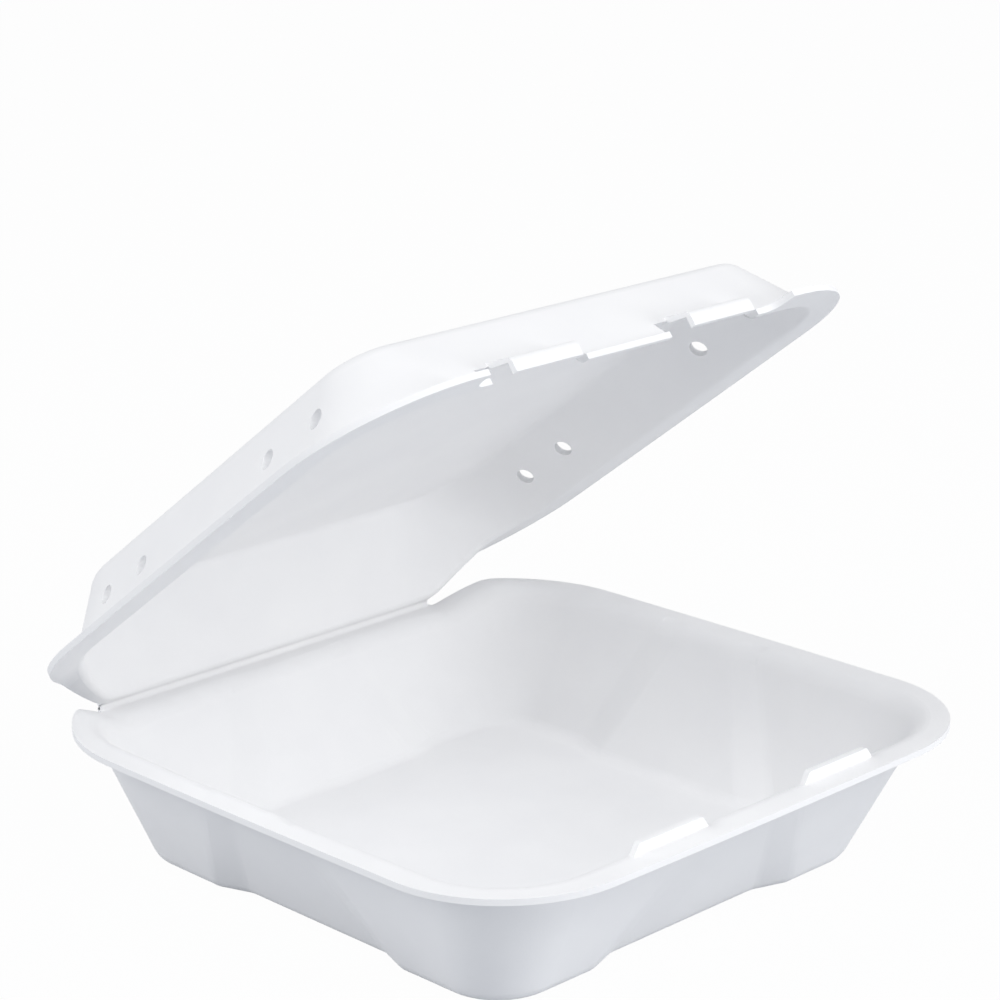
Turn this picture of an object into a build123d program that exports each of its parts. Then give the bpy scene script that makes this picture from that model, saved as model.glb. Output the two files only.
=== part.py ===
"""Hinged foam clamshell: one formed foam sheet, shown with its vented lid standing open."""

import math
import os

from build123d import *

# Foam sheet, in millimetres
foam = 2.6  # thickness of walls, floor and top
flange_foam = 2.0  # flanges are pressed a little thinner
hood_foam = 2.0  # the hoods are drawn out of the front wall

# Rim that tray and lid share
rim_width = 224.0  # along the hinge
rim_depth = 236.0  # hinge line to front edge
rim_bow = 1.2  # how far the side and front edges bow outwards
rim_front_corner = 45.0
rim_back_corner = 58.0
flange_width = 12.0
back_flange_width = 8.0
rim_gap = 0.4  # air between the flanges when shut

# Tray
tray_height = 49.0
floor_width = 168.0
floor_depth = 170.0
floor_front_corner = 20.0
floor_back_corner = 16.0
floor_round = 5.0  # inside rounding where walls meet the floor
mouth_round = 8.0  # top rounding where walls turn over into the flange
root_round = 5.0  # rounding under the flange, following the mouth's

# Wall panels, set back between the four corner posts
panel_recess = 4.5  # at the floor
panel_fade = 0.3  # recess that is left at the mouth
panel_half_at_floor = 34.0
panel_half_at_mouth = 11.0
panel_step = 12.0  # length of the slope from panel to corner post
panel_crease = 8.0  # radius of the panel's folds at the floor
panel_blend = 60.0  # and at the mouth
mouth_bow = 2.0  # how far the walls bow outwards at the mouth

# Lid
lid_height = 25.5
lid_lean = 18.0  # how far the walls lean in from rim to top
top_round = 4.0  # inside rounding along the top's edge
lid_mouth_round = 3.0  # inside rounding where walls turn over into the flange
lid_root_round = 2.0  # rounding above the flange
open_angle = 36.0  # how far the lid stands open

# Steam vents in the lid's side walls
vent_diameter = 6.4
vent_height = 12.5  # above the lid's rim
vent_places = (57.0, 33.0, -47.0, -75.0)  # along the side, from the middle

# Lock: tongues on the tray's front flange, hoods over windows in the lid's front wall
lock_spacing = 75.0
tongue_width = 33.0
tongue_height = 3.6
tongue_foam = 2.0
tongue_slope = 3.0  # how far each end leans in
window_height = 6.8
window_clearance = 3.0  # beside the tongue
hood_width = 27.0
hood_reach = 5.0  # how far the hood stands out from the wall's foot
hood_clearance = 0.7  # between hood and tongue
hood_rise = 1.6  # the hood's root above the window, and its front below
hood_round = 2.6
front_gap_width = 130.0  # the lid's front flange is cut away here
front_gap_round = 5.0

# Hinge: the sheet pressed thin along the back edge, which dips below the rim
hinge_length = 150.0
hinge_drop = 8.8  # from the rim down to the hinge line
hinge_tab_round = 3.0  # corners of the straight tab along the hinge
ramp_run = 17.5  # length of the slope from the hinge up to the rim
ramp_round = 14.0
dip_start = 62.0  # the dip begins this far behind the middle
hinge_gap = 0.3  # from the pressed crease to either flange
hinge_foam = 1.0

rim_plane = tray_height + rim_gap
hinge_y = rim_depth / 2
hinge_z = tray_height - hinge_drop + rim_gap / 2
mouth_x = rim_width / 2 - flange_width
mouth_front = flange_width - rim_depth / 2
mouth_back = rim_depth / 2 - back_flange_width
far = rim_width  # well beyond the container on every side
past = 1.0  # how far a cut runs past the face that it opens


def between(low, high, share):
    return low + (high - low) * share


def slope_length(run, rise):
    """Level thickness of a wall that leans by run over rise, for each unit of sheet."""
    return math.hypot(run, rise) / rise


def rim_outline():
    """Outer edge of a flange: straight along the hinge, gently bowed on the other sides."""
    half_x = rim_width / 2
    back_left = (-half_x, hinge_y)
    back_right = (half_x, hinge_y)
    front_left = (-half_x, -hinge_y)
    front_right = (half_x, -hinge_y)
    edges = [
        Line(back_left, back_right),
        ThreePointArc(back_right, (half_x + rim_bow, 0), front_right),
        ThreePointArc(front_right, (0, -hinge_y - rim_bow), front_left),
        ThreePointArc(front_left, (-half_x - rim_bow, 0), back_left),
    ]
    face = make_face(edges)
    corners = face.vertices().sort_by(Axis.Y)
    face = fillet(corners[:2], rim_front_corner)
    corners = face.vertices().sort_by(Axis.Y)[-2:]
    face = fillet(corners, rim_back_corner)
    tab_depth = rim_back_corner
    tab = RectangleRounded(hinge_length, tab_depth, hinge_tab_round)
    return face + Pos(0, hinge_y - tab_depth / 2) * tab


def below_rim(level):
    """All that lies under a rim: level in front, dipping to the hinge between two ramps behind."""
    ramp_foot = hinge_length / 2
    ramp_top = ramp_foot + ramp_run
    line = FilletPolyline(
        (-far, -far),
        (-far, level),
        (-ramp_top, level),
        (-ramp_foot, level - hinge_drop),
        (ramp_foot, level - hinge_drop),
        (ramp_top, level),
        (far, level),
        (far, -far),
        radius=ramp_round,
        close=True,
    )
    behind = Pos(0, dip_start, 0) * extrude(Plane.XZ * make_face(line), -far)
    front = Pos(0, dip_start - far, level - far) * Box(2 * far, 2 * far, 2 * far)
    return behind + front


def flange(bottom):
    """Flange sheet that follows the rim's dip, cut back a little along the hinge line."""
    block = extrude(Pos(0, 0, bottom - far / 2) * rim_outline(), far)
    sheet = (block & below_rim(bottom + flange_foam)) - below_rim(bottom)
    behind = Box(far, 2 * hinge_gap, far)
    return sheet - Pos(0, hinge_y, bottom) * behind


def panelled_section(z, inset_x, inset_y):
    """Level cut through the tray's wall: a rounded oblong with a set-back panel on each side."""
    share = z / tray_height
    half_x = between(floor_width / 2, mouth_x + tray_inset_x(), share) - inset_x
    front_y = between(-floor_depth / 2, mouth_front - tray_inset_y(), share) + inset_y
    back_y = between(floor_depth / 2, mouth_back + tray_inset_y(), share) - inset_y
    half_y = (back_y - front_y) / 2
    recess = between(panel_recess, panel_fade, share)
    bow = mouth_bow * share
    crease = between(panel_crease, panel_blend, share)
    fold = math.atan2(recess, panel_step)
    flat = between(panel_half_at_floor, panel_half_at_mouth, share) + inset_x * math.tan(fold / 2)
    front = between(floor_front_corner, rim_front_corner - flange_width, share) - inset_x
    back = between(floor_back_corner, rim_back_corner - flange_width, share) - inset_x
    points = []
    radii = []
    for turn, along, out, corner in (
        (0, half_x, half_y, front),
        (90, half_y, half_x, front),
        (180, half_x, half_y, back),
        (270, half_y, half_x, back),
    ):
        side = [
            (-along, -out),
            (-flat - panel_step, -out - bow),
            (-flat, -out - bow + recess),
            (flat, -out - bow + recess),
            (flat + panel_step, -out - bow),
        ]
        points += [Vector(*p).rotate(Axis.Z, turn) for p in side]
        radii += [corner] + [crease] * 4
    line = FilletPolyline(*points, radius=radii, close=True)
    return Pos(0, (front_y + back_y) / 2, z) * make_face(line)


def tray_inset_x():
    return foam * slope_length(mouth_x - floor_width / 2, tray_height)


def tray_inset_y():
    return foam * slope_length((mouth_back - mouth_front - floor_depth) / 2, tray_height)


def tongue(x):
    """Upright tab on the tray's front flange, with leaning ends."""
    half = tongue_width / 2
    outline = Polyline(
        (-half, -flange_foam / 2),
        (half, -flange_foam / 2),
        (half - tongue_slope, tongue_height),
        (tongue_slope - half, tongue_height),
        close=True,
    )
    face = make_face(outline)
    face = fillet(face.vertices().sort_by(Axis.Y)[-2:], tongue_slope / 2)
    tab = extrude(Plane.XZ * face, tongue_foam)
    return Pos(x, tongue_outer_y() + tongue_foam, tray_height) * tab


def wall_foot_y():
    """Front face of the lid's front wall at the rim."""
    return mouth_front - lid_inset()


def tongue_outer_y():
    return wall_foot_y() - hood_reach + hood_foam + hood_clearance


def lock_places():
    return (-lock_spacing / 2, lock_spacing / 2)


def tray():
    outer = loft([panelled_section(0, 0, 0), panelled_section(tray_height, 0, 0)], ruled=True)
    outer = fillet(outer.edges().group_by(Axis.Z)[0], floor_round + foam)
    inset_x = tray_inset_x()
    inset_y = tray_inset_y()
    low = panelled_section(foam, inset_x, inset_y)
    high = panelled_section(tray_height + past, inset_x, inset_y)
    hollow = loft([low, high], ruled=True)
    hollow = fillet(hollow.edges().group_by(Axis.Z)[0], floor_round)
    wall = outer & below_rim(tray_height)
    rim = flange(tray_height - flange_foam)
    joined = wall + rim
    joined = fillet(new_edges(wall, rim, combined=joined), root_round)
    body = joined - hollow
    body = fillet(new_edges(joined, hollow, combined=body), mouth_round)
    for x in lock_places():
        body += tongue(x)
    return body


def lid_inset():
    """Level thickness of the lid's leaning wall."""
    return foam * slope_length(lid_lean, lid_height)


def dome(bottom, top, inset):
    """Tapered block between two heights above the lid's rim, its sides set in by inset."""
    spread = -lid_lean * bottom / lid_height - inset
    half_x = mouth_x + lid_inset() + spread
    half_y = -wall_foot_y() + spread
    front = rim_front_corner - flange_width + spread
    back = rim_back_corner - flange_width + spread
    points = [(-half_x, -half_y), (half_x, -half_y), (half_x, half_y), (-half_x, half_y)]
    line = FilletPolyline(*points, radius=[front, front, back, back], close=True)
    lean = math.degrees(math.atan2(lid_lean, lid_height))
    return extrude(Pos(0, 0, bottom) * make_face(line), top - bottom, taper=lean)


def vents():
    """Round holes cut square to the leaning side walls."""
    lean = math.degrees(math.atan2(lid_lean, lid_height))
    middle_x = mouth_x + lid_inset() / 2 - lid_lean * vent_height / lid_height
    drill = Cylinder(vent_diameter / 2, 5 * foam)
    holes = []
    for y in vent_places:
        for side in (-1, 1):
            holes.append(Pos(side * middle_x, y, vent_height) * Rot(0, side * (90 - lean), 0) * drill)
    return holes


def hood(x):
    """Bent strip that hangs over a lock window: a sloping roof with a front drop."""
    lean = lid_lean / lid_height
    front = wall_foot_y() - hood_reach
    root = wall_foot_y() + lean * (window_height + hood_rise)
    roof = window_height - hood_rise
    path = Polyline(
        (root + hood_foam, window_height + hood_rise),
        (root, window_height + hood_rise),
        (front, roof),
        (front, rim_gap),
        (front + hood_foam, rim_gap),
        (front + hood_foam, roof - hood_foam / 2),
        (root + hood_foam, window_height),
        close=True,
    )
    face = make_face(path)
    bent = face.vertices().sort_by_distance((front, roof))[0]
    face = fillet(bent, hood_round)
    strip = extrude(Plane.YZ * face, hood_width / 2, both=True)
    return Pos(x, 0, 0) * strip


def lid_shut():
    """Lid as it lies on the tray, with its rim at z = 0."""
    outer = dome(-hinge_drop - past, lid_height, 0)
    outer = fillet(outer.edges().group_by(Axis.Z)[-1], top_round + foam)
    hollow = dome(-hinge_drop - 2 * past, lid_height - foam, lid_inset())
    hollow = fillet(hollow.edges().group_by(Axis.Z)[-1], top_round)
    rim = flange(0)
    depth = rim_depth / 2 + rim_bow + wall_foot_y()
    gap = Box(front_gap_width, 2 * depth, 4 * flange_foam)
    gap = fillet(gap.edges().filter_by(Axis.Z), front_gap_round)
    gap = Pos(0, wall_foot_y() - depth, 0) * gap
    wall = outer - below_rim(0)
    joined = wall + rim
    joined = fillet(new_edges(wall, rim, combined=joined), lid_root_round)
    body = joined - hollow
    body = fillet(new_edges(joined, hollow, combined=body), lid_mouth_round)
    body -= gap - outer
    window = Box(tongue_width + 2 * window_clearance, 6 * window_height, 2 * window_height)
    for x in lock_places():
        body -= Pos(x, wall_foot_y(), 0) * window
        body += hood(x)
    for hole in vents():
        body -= hole
    return body


def lid():
    """Lid at rest, swung open about the hinge line."""
    swing = Pos(0, hinge_y, hinge_z) * Rot(-open_angle, 0, 0) * Pos(0, -hinge_y, -hinge_z)
    return swing * Pos(0, 0, rim_plane) * lid_shut()


def hinge_strip():
    """Pressed crease: a thin strip bent round the hinge line from one flange to the other."""
    inner = hinge_gap
    outer = hinge_gap + hinge_foam
    lid_side = 90 - open_angle
    outside = CenterArc((0, 0), outer, -90, 90 + lid_side)
    inside = CenterArc((0, 0), inner, -90, 90 + lid_side)
    face = make_face([outside, inside, Line(outside @ 0, inside @ 0), Line(outside @ 1, inside @ 1)])
    strip = extrude(Plane.YZ * face, hinge_length / 2, both=True)
    return Pos(0, hinge_y, hinge_z) * strip


def main():
    os.makedirs("parts", exist_ok=True)
    export_step(tray(), "parts/tray.step")
    export_step(lid(), "parts/lid.step")
    export_step(hinge_strip(), "parts/hinge_strip.step")


main()
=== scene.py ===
"""Looks for the hinged foam container: formed white foam, a soft studio and the photo's view."""

import math

import bpy
from mathutils import Matrix, Vector


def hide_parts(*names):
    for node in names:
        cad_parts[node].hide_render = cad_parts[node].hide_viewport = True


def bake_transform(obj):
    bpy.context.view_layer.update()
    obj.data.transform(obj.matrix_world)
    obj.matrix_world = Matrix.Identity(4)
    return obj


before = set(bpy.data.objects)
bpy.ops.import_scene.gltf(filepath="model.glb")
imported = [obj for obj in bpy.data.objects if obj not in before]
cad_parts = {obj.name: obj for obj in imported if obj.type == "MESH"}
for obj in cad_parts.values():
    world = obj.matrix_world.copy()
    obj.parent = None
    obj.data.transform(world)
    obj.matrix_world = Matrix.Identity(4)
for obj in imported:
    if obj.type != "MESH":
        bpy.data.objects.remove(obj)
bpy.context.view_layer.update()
bpy.ops.object.select_all(action="DESELECT")

MM = 0.001
HINGE = Vector((0, 118 * MM, 40.4 * MM))  # middle of the hinge line
HALF_OPEN = math.radians(18)  # half the angle at which the lid stands open
CREASE_LENGTH = 148.4 * MM  # just short of the ends of the flanges, whose corners are rounded
LAMP_AIM = Vector((0, 0, 60 * MM))  # over the middle of the tray, just above its rim
PURE_WHITE = (1, 1, 1, 1)


def linear(hex_code):
    """sRGB hex to the linear colour that the shader reads."""
    channels = [int(hex_code[i:i + 2], 16) / 255 for i in (1, 3, 5)]
    curve = [c / 12.92 if c <= 0.04045 else ((c + 0.055) / 1.055) ** 2.4 for c in channels]
    return (*curve, 1.0)


def add(tree, kind, settings=(), links=()):
    """Adds one node, sets its fields and sockets, and links sockets from other nodes."""
    node = tree.nodes.new(kind)
    for name, value in dict(settings).items():
        if isinstance(name, str) and hasattr(node, name):
            setattr(node, name, value)
        else:
            node.inputs[name].default_value = value
    for socket, source in dict(links).items():
        tree.links.new(source, node.inputs[socket])
    return node


def empty_tree(owner):
    """Node tree of a new material or world, with nothing in it."""
    owner.use_nodes = True
    owner.node_tree.nodes.clear()
    return owner.node_tree


def foam_sheet_material():
    """Expanded polystyrene sheet, vacuum formed: a smooth pressed skin over closed cells.
    The eye sees a soft white with little gloss, since foam is mostly air, faint cells close to,
    and slow waves left by the mould."""
    cell_width, cell_depth = 1.1 * MM, 0.1 * MM
    wave_width, wave_depth = 26 * MM, 0.6 * MM
    material = bpy.data.materials.new("formed_polystyrene_foam")
    tree = empty_tree(material)
    place = add(tree, "ShaderNodeTexCoord").outputs["Object"]
    cells = add(tree, "ShaderNodeTexVoronoi", {"Scale": 1 / cell_width}, {"Vector": place})
    waves = add(
        tree, "ShaderNodeTexNoise",
        {"Scale": 1 / wave_width, "Detail": 2.0},
        {"Vector": place},
    )
    tint = add(
        tree, "ShaderNodeMix",
        {"data_type": "RGBA", 6: linear("#f4f4f5"), 7: linear("#fafafa")},
        {0: waves.outputs["Fac"]},
    )
    wavy = add(
        tree, "ShaderNodeBump",
        {"Strength": 0.25, "Distance": wave_depth},
        {"Height": waves.outputs["Fac"]},
    )
    pitted = add(
        tree, "ShaderNodeBump",
        {"Strength": 0.12, "Distance": cell_depth},
        {"Height": cells.outputs["Distance"], "Normal": wavy.outputs["Normal"]},
    )
    skin = add(
        tree, "ShaderNodeBsdfPrincipled",
        {"Roughness": 0.65, "IOR": 1.15},
        {"Base Color": tint.outputs[2], "Normal": pitted.outputs["Normal"]},
    )
    add(tree, "ShaderNodeOutputMaterial", (), {"Surface": skin.outputs["BSDF"]})
    return material


def select_only(piece):
    """Makes one piece the only one that operators act on."""
    bpy.ops.object.select_all(action="DESELECT")
    piece.select_set(True)
    bpy.context.view_layer.objects.active = piece


def set_place_in_mesh(piece):
    """Puts a piece's place, turn and size into its mesh, and its object at the origin."""
    select_only(piece)
    bpy.ops.object.transform_apply(location=True, rotation=True, scale=True)


def crease_cove():
    """Soft fold that fills the notch between the two flanges: a wedge with a hollow round front."""
    reach = 3.4 * MM  # both flanges are flat this far from the hinge line
    face_gap = 0.19 * MM  # hinge line to each face of the wedge, just off the flange beside it
    behind = 0.25 * MM  # the wedge starts this far behind the hinge line, close to the rounded back
    spare = 1 * MM  # depth that the cut across the front takes off
    lip = 0.02 * MM  # foam left where the hollow front meets each face
    middle = Vector((0, -math.cos(HALF_OPEN), math.sin(HALF_OPEN)))
    lid_up = Vector((0, math.sin(2 * HALF_OPEN), math.cos(2 * HALF_OPEN)))
    depth, height = reach + spare, reach
    centre = HINGE + Vector((0, -depth / 2 + behind, height / 2 - face_gap))
    bpy.ops.mesh.primitive_cube_add(size=1, location=centre, scale=(CREASE_LENGTH, depth, height))
    wedge = bpy.context.object
    set_place_in_mesh(wedge)
    bpy.ops.object.mode_set(mode="EDIT")
    for point, out in (
        (HINGE + lid_up * face_gap, lid_up),
        (HINGE + middle * reach * math.cos(HALF_OPEN), middle),
    ):
        bpy.ops.mesh.select_all(action="SELECT")
        bpy.ops.mesh.bisect(plane_co=point, plane_no=out, use_fill=True, clear_outer=True)
    bpy.ops.object.mode_set(mode="OBJECT")
    past_both_ends = 1.1
    bpy.ops.mesh.primitive_cylinder_add(
        vertices=96,
        radius=reach * math.tan(HALF_OPEN) + face_gap - lip,
        depth=CREASE_LENGTH * past_both_ends,
        location=HINGE + middle * reach / math.cos(HALF_OPEN),
        rotation=(0, math.pi / 2, 0),
    )
    scoop = bpy.context.object
    select_only(wedge)
    cut = wedge.modifiers.new("round_front", "BOOLEAN")
    cut.operation = "DIFFERENCE"
    cut.solver = "EXACT"
    cut.object = scoop
    bpy.ops.object.modifier_apply(modifier=cut.name)
    select_only(scoop)
    bpy.ops.object.delete()
    return wedge


def crease_back():
    """Rounded outside of the fold: a thin flat spun round the hinge line from tray to lid."""
    inner, thick = 0.3 * MM, 1.0 * MM  # clear space round the hinge line, and the foam outside it
    same_point = 0.001 * MM
    below = HINGE - Vector((0, 0, inner + thick / 2))
    bpy.ops.mesh.primitive_plane_add(size=1, location=below, rotation=(math.pi / 2, 0, 0))
    back = bpy.context.object
    back.scale = (CREASE_LENGTH, thick, 1)
    set_place_in_mesh(back)
    bpy.ops.object.mode_set(mode="EDIT")
    bpy.ops.mesh.select_all(action="SELECT")
    bpy.ops.mesh.spin(steps=20, angle=math.pi - 2 * HALF_OPEN, center=HINGE, axis=(1, 0, 0))
    bpy.ops.mesh.select_all(action="SELECT")
    bpy.ops.mesh.remove_doubles(threshold=same_point)
    bpy.ops.mesh.normals_make_consistent(inside=False)
    bpy.ops.object.mode_set(mode="OBJECT")
    return back


def crease(material):
    """The bent foam along the hinge, built in place between tray and lid, which stands in for the
    hidden hinge strip.
    """
    crisp_above = math.radians(35)  # an edge sharper than this isn't smoothed
    cove = crease_cove()
    back = crease_back()
    select_only(cove)
    back.select_set(True)
    bpy.ops.object.join()
    piece = bpy.context.object
    piece.name = "crease"
    bpy.ops.object.shade_smooth_by_angle(angle=crisp_above)
    piece.data.materials.clear()
    piece.data.materials.append(material)
    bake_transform(piece)
    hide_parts("hinge_strip")


def seen_white(tree):
    """Factor that is 1 on the rays that show the background: from the camera, gloss and glass."""
    path = add(tree, "ShaderNodeLightPath")
    seen = path.outputs["Is Camera Ray"]
    for other in ("Is Glossy Ray", "Is Transmission Ray"):
        both = add(
            tree, "ShaderNodeMath",
            {"operation": "ADD", "use_clamp": True},
            {0: seen, 1: path.outputs[other]},
        )
        seen = both.outputs[0]
    return seen


def studio_floor():
    """Wide white floor; to the eye it runs on into the white background and keeps a soft shadow."""
    width = 12  # metres
    white_share = 0.975  # what is left is the paper itself, which takes the shadow
    bpy.ops.mesh.primitive_plane_add(size=width)
    floor = bpy.context.object
    floor.name = "studio_floor"
    material = bpy.data.materials.new("white_paper_floor")
    tree = empty_tree(material)
    paper = add(tree, "ShaderNodeBsdfDiffuse", {"Color": linear("#cbced3")})
    glow = add(tree, "ShaderNodeEmission", {"Color": PURE_WHITE, "Strength": 1.0})
    seen = add(
        tree, "ShaderNodeMath",
        {"operation": "MULTIPLY", 1: white_share},
        {0: seen_white(tree)},
    )
    both = add(
        tree, "ShaderNodeMixShader", (),
        {0: seen.outputs[0], 1: paper.outputs[0], 2: glow.outputs[0]},
    )
    add(tree, "ShaderNodeOutputMaterial", (), {"Surface": both.outputs[0]})
    floor.data.materials.append(material)


def studio_light():
    """White room light, with two broad lamps from the front, which shine in under the open lid,
    and one from the left and behind."""
    scene = bpy.context.scene
    world = bpy.data.worlds.new("white_room")
    scene.world = world
    tree = empty_tree(world)
    room = add(tree, "ShaderNodeBackground", {"Color": linear("#f8faff"), "Strength": 0.435})
    white = add(tree, "ShaderNodeBackground", {"Color": PURE_WHITE, "Strength": 1.0})
    both = add(
        tree, "ShaderNodeMixShader", (),
        {0: seen_white(tree), 1: room.outputs[0], 2: white.outputs[0]},
    )
    add(tree, "ShaderNodeOutputWorld", (), {"Surface": both.outputs[0]})
    # places and widths are in metres
    for name, place, width, watts in (
        ("lamp_front", (0.0, -1.2, 1.3), 1.0, 11.2),
        ("lamp_right", (0.7, -1.6, 0.4), 0.8, 8.8),
        ("lamp_left_back", (-1.3, 0.5, 0.9), 1.0, 10.0),
    ):
        data = bpy.data.lights.new(name, "AREA")
        data.shape = "DISK"
        data.size = width
        data.energy = watts
        lamp = bpy.data.objects.new(name, data)
        scene.collection.objects.link(lamp)
        lamp.location = place
        lamp.rotation_euler = (LAMP_AIM - Vector(place)).to_track_quat("-Z", "Y").to_euler()


def photo_camera():
    """Camera at the photograph's angle: left of the front, looking a little down."""
    azimuth, elevation, roll = math.radians(-43.5), math.radians(16.9), math.radians(-1.17)
    # the camera's place from the origin, along its own axes
    right, up, away = -0.76 * MM, 116.13 * MM, 999.1 * MM
    turn = (
        Matrix.Rotation(azimuth, 4, "Z")
        @ Matrix.Rotation(math.pi / 2 - elevation, 4, "X")
        @ Matrix.Rotation(roll, 4, "Z")
    )
    data = bpy.data.cameras.new("photo_camera")
    data.sensor_width = 36
    data.lens = 109.24
    camera = bpy.data.objects.new("photo_camera", data)
    bpy.context.scene.collection.objects.link(camera)
    camera.matrix_world = turn @ Matrix.Translation((right, up, away))
    bpy.context.scene.camera = camera


foam = foam_sheet_material()
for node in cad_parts.values():
    node.data.materials.clear()
    node.data.materials.append(foam)

crease(foam)
studio_floor()
studio_light()
photo_camera()
bpy.context.scene.view_settings.view_transform = "Standard"
